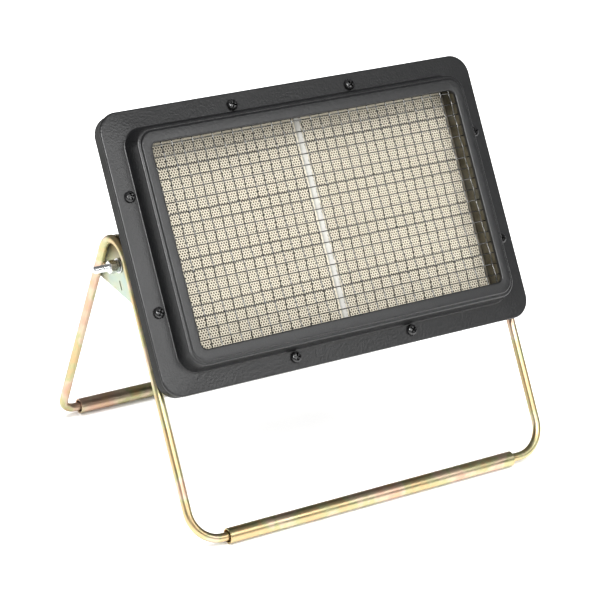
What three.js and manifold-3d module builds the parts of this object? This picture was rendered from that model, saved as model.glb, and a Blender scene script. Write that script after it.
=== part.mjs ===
// Portable infrared gas heater: two perforated ceramic plaques behind a crimped wire guard, in a
// pressed steel head that tilts on two side bolts in a stand of bent rod.
// Millimetres, +Z up. The origin lies on the floor, midway between the feet.
// X runs along the heater, and the face looks towards -Y and up.
import * as THREE from 'three';
import { mergeVertices } from 'three/addons/utils/BufferGeometryUtils.js';
import Module from 'manifold-3d';

const wasm = await Module();
wasm.setup();

// ---------- Driving dimensions (mm, degrees) ----------
const GAP = 0.3;                    // clearance between pieces that touch or are bolted together
const SHEET = 1;                    // sheet steel of the head
const FACE_TILT = 36;               // face leans back from vertical

// Face frame, from the window outwards: w is across the width and h across the height
const WINDOW_MARGIN = { w: 1.1, h: -1.8 };    // window past the outer edges of the plaques
const BORDER = { w: 11.6, h: 13 };            // window's edge to the foot of the step
const FLANGE = { w: 15, h: 13.1 };            // foot of the step to the frame's edge
const WINDOW_CORNER = 4.5;
const STEP_CORNER = 13.2;
const EDGE_CORNER = 14;
const FACE_RISE = 14.6;             // border of the window above the flange
const STEP_LEAN = 2.4;              // draft of the step, foot to shoulder
const SHOULDER_DROP = 1.6;          // shoulder below the border
const SHOULDER_WIDTH = 1.9;
const LIP_DEPTH = 2.6;              // turned-in edge of the window
const FOOT_BEND = 0.8;
const SHOULDER_BEND = 1.2;
const BEAD_STEP = 0.6;              // slope and bends of the bead between shoulder and border
const WINDOW_BEND = 1;

// Rear housing
const RIM_DEPTH = 10.4;             // flange front to the back edge of the turned rim
const HOUSING_ROOM = { w: 2.5, h: 2.6 };      // burner box flange to the inside of the housing
const HOUSING_CORNER = 12;
const HOUSING_DEPTH = 45;
const HOUSING_BEND = 3;
const RIM_BEND = 1.8;
const RIM_INSET = 0.6;
const LOUVRE = { width: 34, height: 3, pitch: 9, count: 4, offset: 66 };

// Burner
const PLAQUE_DEPTH = 2;             // hot face of the plaques behind the flange front
const PLAQUE_THICKNESS = 13;
const PLAQUE_HALF_HEIGHT = 70.2;
const PLAQUE_WIDTH = 116.4;
const SEAM_WIDTH = 4.6;             // cement joint between the plaques
const SEAM_PROUD = 0.2;
const GASKET = 1.6;                 // fibre strip round the plaques
const LEDGE_WIDTH = 5;              // ledge that carries the plaques
const BOX_FLANGE = 3.6;
const BOX_DEPTH = 33;
const BOX_CORNER = 4;
const LEDGE_BEND = 1.2;
const EASE = 0.5;                   // eased edge of a plaque
const BAFFLE = { width: 150, height: 84, thickness: 0.8, leg: 9 };

// Wire guard
const GUARD_PITCH = 15.2;           // every second wire of the real mesh
const GUARD_WIRE = 0.9;
const GUARD_EDGE = 4;
const GUARD_OVERLAP = 5.6;          // guard beyond the window on every side

// Gas train, on the centre line behind the head
const MIXER = { outlet: 10, wall: 1.2, throat: 7, mouth: 13, length: 28, flange: 20, flangeThickness: 1.2 };
const JET_STANDOFF = 5;             // jet tip to the mixer's mouth
const YOKE = { halfWidth: 22, width: 16, thickness: 1.6, foot: 12 };
const JET = {
  bore: 0.5, face: 1.8, tip: 3, tipLength: 4, hex: 12, hexLength: 6, thread: 8, threadLength: 10,
};
const INLET_NUT = { flats: 13, length: 4 };
const BARB = {
  flats: 12, collar: 8, web: 1, stem: 3.4, bore: 2.2, crest: 4.4, pitch: 5, slope: 3, count: 4,
};
const YOKE_SCREW = { diameter: 4, head: 7.6, headHeight: 2.4, length: 6 };

// Fasteners
const FLANGE_SCREW = { diameter: 4, head: 7.8, headHeight: 2.6, length: 8 };
const FLANGE_NUT = { flats: 7, length: 3.2 };
const SCREW_ROOM = { w: 1.5, h: 0.8 };        // screw head to the foot of the step
const SCREW_SPACING_WIDE = 93;      // between the two screws of a long side
const SCREW_SPACING_HIGH = 76.8;    // between the two screws of a short side
const BURNER_SCREW = { diameter: 4, head: 8, headHeight: 2.6, length: 9, x: 88, y: 46 };
const STANDOFF_DIAMETER = 9;

// Stand
const ROD_DIAMETER = 6;
const TUBE_DIAMETER = 10.5;
const TUBE_WALL = 1;
const BUSH = { recess: 3, length: 8 };        // bush in a tube's end, which centres the rod
const FOOT_SPREAD = 185.8;          // between the centre lines of the two floor tubes
const APEX_HEIGHT = 187.9;          // where the straight legs of a side rod would cross
const APEX_SETBACK = 36.1;          // the same point behind the middle of the feet
const ARCH_BEND = 17.1;             // bend radii are to the rod's centre line
const FRONT_FOOT_BEND = 21;
const REAR_FOOT_BEND = 11;
const FRONT_TUBE_SETBACK = 26.3;    // rod plane to the end of the floor tube
const REAR_TUBE_SETBACK = 13.8;
const FRONT_TUBE_SLIDE = -2.1;      // front tube stands this far off the middle
const ROD_INSERT = { front: 13, rear: 14 };   // rod inside a centred floor tube

// Tilt joint
const PIVOT_FROM_BACK = 9.3;        // pivot in front of the housing's back
const PIVOT_DROP = 1.2;             // pivot below the centre of the arch
const PIVOT_BOLT = { diameter: 5, head: 9.5, headHeight: 2.6, beyondNut: 11.2 };
const PIVOT_NUT = { flats: 8, length: 4.7 };
const WASHER = { diameter: 10, thickness: 1 };
const SPRING_WASHER = { diameter: 8.4, thickness: 1.3 };
const STUD_CHAMFER = 0.6;
const SPACER = { diameter: 10, length: 7.4 };
const GUSSET_THICKNESS = 2;
const GUSSET_HEIGHT = 19.2;         // pivot to the gusset's straight lower edge
const GUSSET_SIDE = 2.4;            // gusset past the rod's centre line
const SLOT = { width: 1.4, length: 6.4, drop: 13.2, setForward: 3.4 };

// Facets
const CORNER_STEPS = 4;
const ROD_SIDES = 10;
const ROUND_SIDES = 16;
const SMALL_SIDES = 12;

// ---------- Geometry helpers ----------
const { cos, sin, tan, acos, PI, max, min, round } = Math;
const vec = (x, y, z = 0) => new THREE.Vector3(x, y, z);
const lerp = THREE.MathUtils.lerp;

function toManifold(geometry) {
  const plain = geometry.clone();
  plain.deleteAttribute('normal');
  plain.deleteAttribute('uv');
  const merged = mergeVertices(plain, 1e-4);
  const vertProperties = new Float32Array(merged.attributes.position.array);
  const triVerts = new Uint32Array(merged.index.array);
  return new wasm.Manifold(new wasm.Mesh({ numProp: 3, vertProperties, triVerts }));
}

function toGeometry(manifold) {
  const mesh = manifold.getMesh();
  const geometry = new THREE.BufferGeometry();
  geometry.setAttribute('position', new THREE.BufferAttribute(mesh.vertProperties, 3));
  geometry.setIndex(new THREE.BufferAttribute(mesh.triVerts, 1));
  geometry.computeVertexNormals();
  return geometry;
}

function cut(geometry, ...tools) {
  return toGeometry(tools.reduce((body, tool) => body.subtract(toManifold(tool)), toManifold(geometry)));
}

// Skin through rings of equally many points. A closed loft joins its last ring to its first,
// and an open one is capped with a fan at both ends.
function loft(rings, closed = false) {
  const size = rings[0].length;
  const points = rings.flat();
  const indices = [];
  const spans = closed ? rings.length : rings.length - 1;
  for (let i = 0; i < spans; i++) {
    const a = i * size;
    const b = ((i + 1) % rings.length) * size;
    for (let j = 0; j < size; j++) {
      const k = (j + 1) % size;
      indices.push(a + j, a + k, b + k, a + j, b + k, b + j);
    }
  }
  if (!closed) {
    const last = (rings.length - 1) * size;
    for (let j = 1; j < size - 1; j++) {
      indices.push(0, j + 1, j, last, last + j, last + j + 1);
    }
  }
  const geometry = new THREE.BufferGeometry().setFromPoints(points);
  if (signedVolume(points, indices) < 0) indices.reverse();
  geometry.setIndex(indices);
  geometry.computeVertexNormals();
  return geometry;
}

function signedVolume(points, indices) {
  let volume = 0;
  const cross = vec(0, 0);
  for (let i = 0; i < indices.length; i += 3) {
    cross.crossVectors(points[indices[i + 1]], points[indices[i + 2]]);
    volume += points[indices[i]].dot(cross) / 6;
  }
  return volume;
}

// A line through corner points, with a true arc of radius corner.bend at each inner corner
function bentLine(corners, degreesPerStep = 15) {
  const line = [corners[0].at];
  for (let i = 1; i < corners.length - 1; i++) {
    const { at, bend } = corners[i];
    const back = corners[i - 1].at.clone().sub(at).normalize();
    const ahead = corners[i + 1].at.clone().sub(at).normalize();
    const half = acos(back.dot(ahead)) / 2;
    const centre = at.clone().addScaledVector(back.clone().add(ahead).normalize(), bend / sin(half));
    const start = at.clone().addScaledVector(back, bend / tan(half)).sub(centre);
    const end = at.clone().addScaledVector(ahead, bend / tan(half)).sub(centre);
    const axis = start.clone().cross(end).normalize();
    const turn = PI - 2 * half;
    const steps = max(2, round(THREE.MathUtils.radToDeg(turn) / degreesPerStep));
    for (let k = 0; k <= steps; k++) {
      line.push(start.clone().applyAxisAngle(axis, (turn * k) / steps).add(centre));
    }
  }
  line.push(corners.at(-1).at);
  return line;
}

// Round bar along a line, its section carried without twist
function bar(line, radius, sides) {
  let across = vec(0, 0, 1);
  const rings = line.map((point, i) => {
    const tangent = line[min(i + 1, line.length - 1)].clone().sub(line[max(i - 1, 0)]).normalize();
    across = across.clone().addScaledVector(tangent, -across.dot(tangent)).normalize();
    const side = tangent.clone().cross(across);
    return Array.from({ length: sides }, (_, j) => {
      const angle = (2 * PI * (j + 0.5)) / sides;
      return point.clone()
        .addScaledVector(across, radius * cos(angle))
        .addScaledVector(side, radius * sin(angle));
    });
  });
  return loft(rings);
}

// Turned piece: [radius, height] stations round the local Z axis, closed on itself or on the axis
function turned(stations, sides = SMALL_SIDES) {
  const profile = stations.map(([radius, height]) => new THREE.Vector2(radius, height));
  const onAxis = stations[0][0] === 0;
  if (!onAxis) profile.push(profile[0].clone());
  const geometry = new THREE.LatheGeometry(profile, sides, PI / sides);
  const merged = mergeVertices(stripped(geometry), 1e-4);
  const points = pointsOf(merged);
  const indices = withoutSlivers(Array.from(merged.index.array));
  if (signedVolume(points, indices) < 0) indices.reverse();
  merged.setIndex(indices);
  return merged.rotateX(PI / 2);
}

function stripped(geometry) {
  geometry.deleteAttribute('normal');
  geometry.deleteAttribute('uv');
  return geometry;
}

function pointsOf(geometry) {
  const position = geometry.attributes.position;
  return Array.from({ length: position.count }, (_, i) => vec(0, 0).fromBufferAttribute(position, i));
}

function withoutSlivers(indices) {
  const kept = [];
  for (let i = 0; i < indices.length; i += 3) {
    const [a, b, c] = indices.slice(i, i + 3);
    if (a !== b && b !== c && c !== a) kept.push(a, b, c);
  }
  return kept;
}

// Flat piece of an outline in the local XY plane, from height 0 up
function plate(shape, thickness, curveSegments = 4) {
  return new THREE.ExtrudeGeometry(shape, { depth: thickness, bevelEnabled: false, curveSegments });
}

function circle(radius, x = 0, y = 0) {
  return new THREE.Path().absarc(x, y, radius, 0, 2 * PI, true);
}

function hexShape(flats, boreRadius) {
  const corner = flats / 2 / cos(PI / 6);
  const shape = new THREE.Shape(Array.from({ length: 6 }, (_, i) => (
    new THREE.Vector2(corner * cos((i * PI) / 3), corner * sin((i * PI) / 3)))));
  if (boreRadius) shape.holes.push(circle(boreRadius));
  return shape;
}

function hexNut(flats, boreRadius, length) {
  return plate(hexShape(flats, boreRadius), length, SMALL_SIDES / 2);
}

function ringWasher(outerRadius, boreRadius, thickness) {
  return turned([[boreRadius, 0], [outerRadius, 0], [outerRadius, thickness], [boreRadius, thickness]]);
}

function box(width, height, depth, x = 0, y = 0, z = 0) {
  return new THREE.BoxGeometry(width, height, depth).translate(x, y, z);
}

function rod(radius, length, x = 0, y = 0, z = 0, sides = SMALL_SIDES) {
  const geometry = new THREE.CylinderGeometry(radius, radius, length, sides, 1, false, PI / sides);
  return geometry.rotateX(PI / 2).translate(x, y, z);
}

// Rounded-rectangle ring at a height
function roundedRing({ w, h, r }, height) {
  const ring = [];
  [[1, 1], [-1, 1], [-1, -1], [1, -1]].forEach(([sx, sy], quarter) => {
    for (let i = 0; i <= CORNER_STEPS; i++) {
      const angle = ((quarter + i / CORNER_STEPS) * PI) / 2;
      ring.push(vec(sx * (w - r) + r * cos(angle), sy * (h - r) + r * sin(angle), height));
    }
  });
  return ring;
}

// Outline at an inset from the first of several nested outlines. Past the last outline it is
// offset evenly, and its corners tighten with it.
function outlineAt(outlines, inset) {
  for (let i = 1; i < outlines.length; i++) {
    const [outer, inner] = [outlines[i - 1], outlines[i]];
    const start = outlines[0].w - outer.w;
    const end = outlines[0].w - inner.w;
    if (inset <= end) {
      const t = (inset - start) / (end - start);
      return { w: lerp(outer.w, inner.w, t), h: lerp(outer.h, inner.h, t), r: lerp(outer.r, inner.r, t) };
    }
  }
  const last = outlines.at(-1);
  const beyond = inset - (outlines[0].w - last.w);
  return { w: last.w - beyond, h: last.h - beyond, r: max(last.r - beyond, 0.5) };
}

// The second face of a folded sheet: each [inset, height] point moved along the fold's mitre
function offsetProfile(profile, thickness) {
  return profile.map((point, i) => {
    const before = profile[max(i - 1, 0)];
    const after = profile[min(i + 1, profile.length - 1)];
    const first = normalOf(i ? before : point, i ? point : after);
    const second = normalOf(i < profile.length - 1 ? point : before, i < profile.length - 1 ? after : point);
    const mitre = first.clone().add(second).normalize();
    return point.clone().addScaledVector(mitre, thickness / mitre.dot(first));
  });
}

function normalOf(from, to) {
  const along = to.clone().sub(from).normalize();
  return vec(along.y, -along.x);
}

// Pressed sheet: a folded [inset, height] profile carried round the nested outlines.
// An open pressing is a ring, and a closed one has a bottom at the profile's last point.
function pressing(outlines, corners, { thickness = SHEET, bottom = false } = {}) {
  const face = bentLine(corners.map(([inset, height, bend]) => ({ at: vec(inset, height), bend })), 45);
  const other = offsetProfile(face, thickness).reverse();
  const ringOf = point => roundedRing(outlineAt(outlines, point.x), point.y);
  if (bottom) return loft([...face.toReversed(), ...other.toReversed()].map(ringOf));
  return loft([...face, ...other].map(ringOf), true);
}

// ---------- Materials ----------
const paint = (color, roughness, metalness) => new THREE.MeshStandardMaterial({ color, roughness, metalness });
const blackEnamel = paint(0x3a3b3d, 0.55, 0.1);
const blackSteel = paint(0x141414, 0.4, 0.6);
const yellowZinc = paint(0xd9c79a, 0.28, 0.9);
const brightZinc = paint(0xc8cacc, 0.25, 1);
const dullSteel = paint(0x5b5a50, 0.5, 0.8);
const wireSteel = paint(0x8d8c88, 0.35, 0.9);
const ceramic = paint(0xe6dcc0, 0.9, 0);
const cement = paint(0xf2efe6, 0.95, 0);
const brass = paint(0xb8963e, 0.3, 1);

const group = new THREE.Group();

function piece(name, geometry, material, parent) {
  const mesh = new THREE.Mesh(geometry, material);
  mesh.name = name;
  parent.add(mesh);
  return mesh;
}

// ---------- Outlines of the face, from the plaques outwards ----------
const widened = ({ w, h }, by, corner) => ({ w: w + by.w, h: h + by.h, r: corner });
const evenly = by => ({ w: by, h: by });

const plaques = { w: SEAM_WIDTH / 2 + PLAQUE_WIDTH, h: PLAQUE_HALF_HEIGHT };
const windowEdge = widened(plaques, WINDOW_MARGIN, WINDOW_CORNER);
const stepFoot = widened(windowEdge, BORDER, STEP_CORNER);
const frameEdge = widened(stepFoot, FLANGE, EDGE_CORNER);
const boxInner = widened(plaques, evenly(GASKET + 2 * GAP), BOX_CORNER);
const boxFlange = widened(boxInner, evenly(BOX_FLANGE), BOX_CORNER + BOX_FLANGE);
const housingInner = widened(boxFlange, HOUSING_ROOM, HOUSING_CORNER - SHEET);
const housingWall = widened(housingInner, evenly(SHEET), HOUSING_CORNER);

// ---------- Stand geometry shared with the head ----------
const rodRadius = ROD_DIAMETER / 2;
const tubeRadius = TUBE_DIAMETER / 2;
const boltRadius = PIVOT_BOLT.diameter / 2;
const spacerStart = housingWall.w + GAP;
const gussetInner = spacerStart + SPACER.length + GAP;
const gussetOuter = gussetInner + GUSSET_THICKNESS;
const rodPlane = gussetOuter + GAP + rodRadius;
const frontFootY = -FOOT_SPREAD / 2;
const rearFootY = FOOT_SPREAD / 2;

const apex = vec(0, APEX_SETBACK, APEX_HEIGHT);
const frontLeg = vec(0, frontFootY, tubeRadius).sub(apex).normalize();
const rearLeg = vec(0, rearFootY, tubeRadius).sub(apex).normalize();
const halfArch = acos(frontLeg.dot(rearLeg)) / 2;
const archDown = frontLeg.clone().add(rearLeg).normalize();
const archCentre = apex.clone().addScaledVector(archDown, ARCH_BEND / sin(halfArch));
const pivot = archCentre.clone().add(vec(0, 0, -PIVOT_DROP));

// ---------- Stand ----------
// Each side of the stand is one hairpin of bent rod, its feet turned inwards into the floor tubes.
function sideRod(side) {
  const x = side * rodPlane;
  const frontEnd = side * (rodPlane - FRONT_TUBE_SETBACK - ROD_INSERT.front);
  const rearEnd = side * (rodPlane - REAR_TUBE_SETBACK - ROD_INSERT.rear);
  return bar(bentLine([
    { at: vec(frontEnd, frontFootY, tubeRadius) },
    { at: vec(x, frontFootY, tubeRadius), bend: FRONT_FOOT_BEND },
    { at: vec(x, APEX_SETBACK, APEX_HEIGHT), bend: ARCH_BEND },
    { at: vec(x, rearFootY, tubeRadius), bend: REAR_FOOT_BEND },
    { at: vec(rearEnd, rearFootY, tubeRadius) },
  ]), rodRadius, ROD_SIDES);
}

// Floor tube along X, with a facet flat on the floor and a bush in each end
function floorTube(halfLength) {
  const flat = cos(PI / ROUND_SIDES);
  const outer = tubeRadius / flat;
  const inner = (tubeRadius - TUBE_WALL) / flat;
  const bush = (rodRadius + GAP) / flat;
  const mouth = halfLength - BUSH.recess;
  const bushEnd = mouth - BUSH.length;
  const section = [
    [inner, -halfLength], [outer, -halfLength], [outer, halfLength], [inner, halfLength],
    [inner, mouth], [bush, mouth], [bush, bushEnd], [inner, bushEnd],
    [inner, -bushEnd], [bush, -bushEnd], [bush, -mouth], [inner, -mouth],
  ];
  return turned(section, ROUND_SIDES).rotateY(PI / 2);
}

// Gusset in the YZ plane of a side, round the arch at the top and straight below, with a short slot
// beside the front leg
function gusset() {
  const toPlane = point => new THREE.Vector2(point.y, point.z);
  const outward = leg => vec(0, leg.z, -leg.y).multiplyScalar(leg.y < 0 ? 1 : -1);
  const radius = ARCH_BEND + GUSSET_SIDE;
  const edgePoint = (leg, z) => {
    const start = archCentre.clone().addScaledVector(outward(leg), radius);
    return start.addScaledVector(leg, (z - start.z) / leg.z);
  };
  const bottom = pivot.z - GUSSET_HEIGHT;
  const frontAngle = Math.atan2(outward(frontLeg).z, outward(frontLeg).y);
  const rearAngle = Math.atan2(outward(rearLeg).z, outward(rearLeg).y);
  const shape = new THREE.Shape();
  shape.moveTo(...toPlane(edgePoint(frontLeg, bottom)).toArray());
  shape.lineTo(...toPlane(edgePoint(rearLeg, bottom)).toArray());
  shape.absarc(archCentre.y, archCentre.z, radius, rearAngle, frontAngle, false);
  shape.holes.push(circle(boltRadius + GAP, pivot.y, pivot.z));
  const slotCentre = new THREE.Vector2(pivot.y - SLOT.setForward, pivot.z - SLOT.drop);
  const along = toPlane(frontLeg).multiplyScalar(SLOT.length / 2);
  const across = new THREE.Vector2(-along.y, along.x).setLength(SLOT.width / 2);
  shape.holes.push(new THREE.Path([[1, 1], [1, -1], [-1, -1], [-1, 1]].map(([a, b]) => (
    slotCentre.clone().addScaledVector(along, a).addScaledVector(across, b)))));
  return plate(shape, GUSSET_THICKNESS, 8);
}

for (const [side, label] of [[-1, 'left'], [1, 'right']]) {
  piece(`side_rod_${label}`, sideRod(side), yellowZinc, group);
  const mesh = piece(`gusset_${label}`, gusset(), yellowZinc, group);
  mesh.rotation.set(PI / 2, PI / 2, 0);
  mesh.position.x = side > 0 ? gussetInner : -gussetOuter;
}
piece('front_tube', floorTube(rodPlane - FRONT_TUBE_SETBACK), yellowZinc, group).position
  .set(FRONT_TUBE_SLIDE, frontFootY, tubeRadius);
piece('rear_tube', floorTube(rodPlane - REAR_TUBE_SETBACK), yellowZinc, group).position
  .set(0, rearFootY, tubeRadius);

// ---------- Head ----------
// Local frame of the head: X along the heater, Y up the face, Z out of the face, with Z = 0 at the
// front of the flange. The pivot lies on the middle line of the housing's side walls.
const pivotDepth = HOUSING_DEPTH - PIVOT_FROM_BACK;
const pivotFrame = new THREE.Group();
pivotFrame.position.copy(pivot);
pivotFrame.rotation.x = THREE.MathUtils.degToRad(90 - FACE_TILT);
group.add(pivotFrame);
const head = new THREE.Group();
head.position.z = pivotDepth;
pivotFrame.add(head);

const flangeBack = -SHEET - GAP;                 // front of the housing's own flange
const flangeUnder = flangeBack - SHEET;          // its back, where the nuts sit
const housingBack = -HOUSING_DEPTH;
const housingFloor = housingBack + SHEET;
const guardFront = FACE_RISE - LIP_DEPTH - GAP;
const guardBack = guardFront - GUARD_WIRE;
const boxTop = guardBack - GAP;
const boxBack = -BOX_DEPTH;
const plaqueBack = -PLAQUE_DEPTH - PLAQUE_THICKNESS;
const mixerClearance = MIXER.outlet + MIXER.wall + GAP;
const jetTip = boxBack - GAP - MIXER.length - JET_STANDOFF;
const webFront = jetTip - JET.tipLength - JET.hexLength - GAP;
const webBack = webFront - YOKE.thickness;
const barbTop = webBack - 2 * GAP - INLET_NUT.length;
const yokeFeet = [-1, 1].map(side => side * (YOKE.halfWidth + YOKE.foot / 2 + YOKE.thickness / 2));
const burnerScrews = [[-1, 1], [1, 1], [1, -1], [-1, -1]].map(([sx, sy]) => (
  [sx * BURNER_SCREW.x, sy * BURNER_SCREW.y]));

const screwLine = widened(widened(stepFoot, SCREW_ROOM), evenly(FLANGE_SCREW.head / 2));
const flangeScrews = [];
for (const sy of [1, -1]) {
  for (const sx of [-1, 1]) flangeScrews.push([(sx * SCREW_SPACING_WIDE) / 2, sy * screwLine.h]);
}
for (const sx of [-1, 1]) {
  for (const sy of [1, -1]) flangeScrews.push([sx * screwLine.w, (sy * SCREW_SPACING_HIGH) / 2]);
}
const holeTool = (x, y, z, diameter, depth) => rod(diameter / 2 + GAP, depth, x, y, z, SMALL_SIDES);

// Face frame: flange, drawn step with a beaded shoulder, border and turned-in window edge
function frontFrame() {
  const foot = FLANGE.w;
  const opening = FLANGE.w + BORDER.w;
  const shoulder = foot + STEP_LEAN;
  const bead = shoulder + SHOULDER_WIDTH;
  const profile = [
    [0, 0],
    [foot, 0, FOOT_BEND],
    [shoulder, FACE_RISE - SHOULDER_DROP, SHOULDER_BEND],
    [bead, FACE_RISE - SHOULDER_DROP, BEAD_STEP],
    [bead + BEAD_STEP, FACE_RISE, BEAD_STEP],
    [opening, FACE_RISE, WINDOW_BEND],
    [opening, FACE_RISE - LIP_DEPTH],
  ];
  const sheet = pressing([frameEdge, stepFoot, windowEdge], profile);
  return cut(sheet, ...flangeScrews.map(([x, y]) => holeTool(x, y, 0, FLANGE_SCREW.diameter, 4 * SHEET)));
}

// Rear housing: turned rim, flange, straight drawn walls and a flat bottom with louvres
function rearHousing() {
  const inner = frameEdge.w - housingInner.w;
  const sheet = pressing([frameEdge, housingWall], [
    [RIM_INSET, -RIM_DEPTH],
    [RIM_INSET, flangeBack, RIM_BEND],
    [inner, flangeBack, RIM_BEND],
    [inner, housingFloor, HOUSING_BEND],
    [inner + 2 * HOUSING_BEND, housingFloor],
  ], { bottom: true });
  const tools = flangeScrews.map(([x, y]) => holeTool(x, y, flangeBack, FLANGE_SCREW.diameter, 4 * SHEET));
  tools.push(rod(mixerClearance, 4 * SHEET, 0, 0, housingBack, ROUND_SIDES));
  tools.push(...burnerScrews.map(([x, y]) => holeTool(x, y, housingBack, BURNER_SCREW.diameter, 4 * SHEET)));
  tools.push(...yokeFeet.map(x => holeTool(x, 0, housingBack, YOKE_SCREW.diameter, 4 * SHEET)));
  const pivotBore = rod(boltRadius + GAP, 2 * housingWall.w + 4 * SHEET).rotateY(PI / 2);
  tools.push(pivotBore.translate(0, 0, -pivotDepth));
  for (const side of [-1, 1]) {
    for (let i = 0; i < LOUVRE.count; i++) {
      const y = (i - (LOUVRE.count - 1) / 2) * LOUVRE.pitch;
      tools.push(box(LOUVRE.width, LOUVRE.height, 4 * SHEET, side * LOUVRE.offset, y, housingBack));
    }
  }
  return cut(sheet, ...tools);
}

// Burner box: flange under the guard, wall round the plaques, ledge behind them and a gas chamber
function burnerBox() {
  const chamber = BOX_FLANGE + LEDGE_WIDTH;
  const sheet = pressing([boxFlange, boxInner], [
    [0, boxTop],
    [BOX_FLANGE, boxTop, LEDGE_BEND],
    [BOX_FLANGE, plaqueBack - GAP, GAP],
    [chamber, plaqueBack - GAP, LEDGE_BEND],
    [chamber, boxBack + SHEET, 2 * LEDGE_BEND],
    [chamber + 4 * LEDGE_BEND, boxBack + SHEET],
  ], { bottom: true });
  return cut(sheet, rod(MIXER.outlet, 4 * SHEET, 0, 0, boxBack, ROUND_SIDES));
}

// One perforated plaque, its holes left out here, with its edges eased
function plaque() {
  const half = PLAQUE_WIDTH / 2;
  const outline = { w: half, h: PLAQUE_HALF_HEIGHT, r: EASE };
  const eased = { w: half - EASE, h: PLAQUE_HALF_HEIGHT - EASE, r: EASE / 2 };
  return loft([
    roundedRing(outline, plaqueBack),
    roundedRing(outline, -PLAQUE_DEPTH - EASE),
    roundedRing(eased, -PLAQUE_DEPTH),
  ]);
}

// Fibre strip between the plaques and the box
function plaqueGasket() {
  const inner = widened(plaques, evenly(GAP), EASE);
  const outer = widened(boxInner, evenly(-GAP), BOX_CORNER - GAP);
  const front = -PLAQUE_DEPTH - EASE;
  return loft([
    roundedRing(outer, plaqueBack), roundedRing(outer, front),
    roundedRing(inner, front), roundedRing(inner, plaqueBack),
  ], true);
}

// Baffle in the gas chamber: a flat plate on two bent legs, which spreads the mixture
function bafflePlate() {
  const { width, height, thickness, leg } = BAFFLE;
  const half = width / 2;
  const shape = new THREE.Shape();
  shape.moveTo(-half - leg, 0);
  for (const [x, z] of [
    [-half, 0], [-half, leg - thickness], [half, leg - thickness], [half, 0], [half + leg, 0],
    [half + leg, thickness], [half + thickness, thickness], [half + thickness, leg],
    [-half - thickness, leg], [-half - thickness, thickness], [-half - leg, thickness],
  ]) shape.lineTo(x, z);
  return plate(shape, height).rotateX(PI / 2).translate(0, height / 2, boxBack + SHEET + GAP);
}

// Wire guard: a flat net in a narrow edge strip, seated between the window's lip and the box flange.
// It is laid out on the grid of its wires' edges, where every second cell each way is a gap.
function wireGuard() {
  const columns = edgesAcross(windowEdge.w + GUARD_OVERLAP);
  const rows = edgesAcross(windowEdge.h + GUARD_OVERLAP);
  const isSolid = (i, j) => (
    i >= 0 && j >= 0 && i < columns.length - 1 && j < rows.length - 1 && (i % 2 === 0 || j % 2 === 0));
  const positions = [];
  const quad = (...corners) => {
    for (const k of [0, 1, 2, 0, 2, 3]) positions.push(...corners[k]);
  };
  const [low, high] = [guardBack, guardFront];
  for (let i = 0; i < columns.length - 1; i++) {
    for (let j = 0; j < rows.length - 1; j++) {
      if (!isSolid(i, j)) continue;
      const [x0, x1, y0, y1] = [columns[i], columns[i + 1], rows[j], rows[j + 1]];
      quad([x0, y0, high], [x1, y0, high], [x1, y1, high], [x0, y1, high]);
      quad([x0, y1, low], [x1, y1, low], [x1, y0, low], [x0, y0, low]);
      if (!isSolid(i, j - 1)) quad([x0, y0, low], [x1, y0, low], [x1, y0, high], [x0, y0, high]);
      if (!isSolid(i, j + 1)) quad([x1, y1, low], [x0, y1, low], [x0, y1, high], [x1, y1, high]);
      if (!isSolid(i - 1, j)) quad([x0, y1, low], [x0, y0, low], [x0, y0, high], [x0, y1, high]);
      if (!isSolid(i + 1, j)) quad([x1, y0, low], [x1, y1, low], [x1, y1, high], [x1, y0, high]);
    }
  }
  const geometry = new THREE.BufferGeometry();
  geometry.setAttribute('position', new THREE.Float32BufferAttribute(positions, 3));
  return mergeVertices(geometry, 1e-4);
}

// Both edges of the edge strip and of every wire between, across a guard of this half size
function edgesAcross(halfSize) {
  const net = 2 * (halfSize - GUARD_EDGE);
  const gaps = round(net / GUARD_PITCH);
  const edges = [-halfSize];
  for (let i = 0; i <= gaps; i++) {
    const middle = (i / gaps - 0.5) * net;
    if (i > 0) edges.push(middle - GUARD_WIRE / 2);
    if (i < gaps) edges.push(middle + GUARD_WIRE / 2);
  }
  return [...edges, halfSize];
}

// Mixer: flanged outlet on the burner box, converging throat and a flared mouth, open at both ends.
// The bore is given as radius and part of the length.
function mixerTube() {
  const { outlet, wall, throat, mouth, flange, flangeThickness, length } = MIXER;
  const stations = [
    [mouth, 1], [(mouth + throat) / 2, 0.86], [throat, 0.7], [throat, 0.5], [outlet, 0.15], [outlet, 0]];
  const bore = stations.map(([radius, part]) => [radius, -part * length]);
  const skin = bore.slice(0, -1).map(([radius, height]) => [radius + wall, height]);
  skin.push([outlet + wall, -flangeThickness], [flange, -flangeThickness], [flange, 0]);
  return turned([...bore.reverse(), ...skin], ROUND_SIDES).translate(0, 0, boxBack - GAP);
}

// Strap that holds the jet in line with the mixer and leaves its mouth open to the air
function injectorYoke() {
  const { halfWidth, width, thickness, foot } = YOKE;
  const seat = housingBack - GAP;
  const inside = webFront - seat;
  const outside = webBack - seat;
  const shape = new THREE.Shape();
  shape.moveTo(-halfWidth - foot, 0);
  for (const [x, z] of [
    [-halfWidth, 0], [-halfWidth, inside], [halfWidth, inside], [halfWidth, 0], [halfWidth + foot, 0],
    [halfWidth + foot, -thickness], [halfWidth + thickness, -thickness],
    [halfWidth + thickness, outside], [-halfWidth - thickness, outside],
    [-halfWidth - thickness, -thickness], [-halfWidth - foot, -thickness],
  ]) shape.lineTo(x, z);
  const strap = plate(shape, width).rotateX(PI / 2).translate(0, width / 2, seat);
  const footHoles = yokeFeet.map(x => holeTool(x, 0, housingBack, YOKE_SCREW.diameter, 6 * thickness));
  return cut(strap, rod(JET.thread / 2 + GAP, 4 * thickness, 0, 0, webBack), ...footHoles);
}

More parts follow.
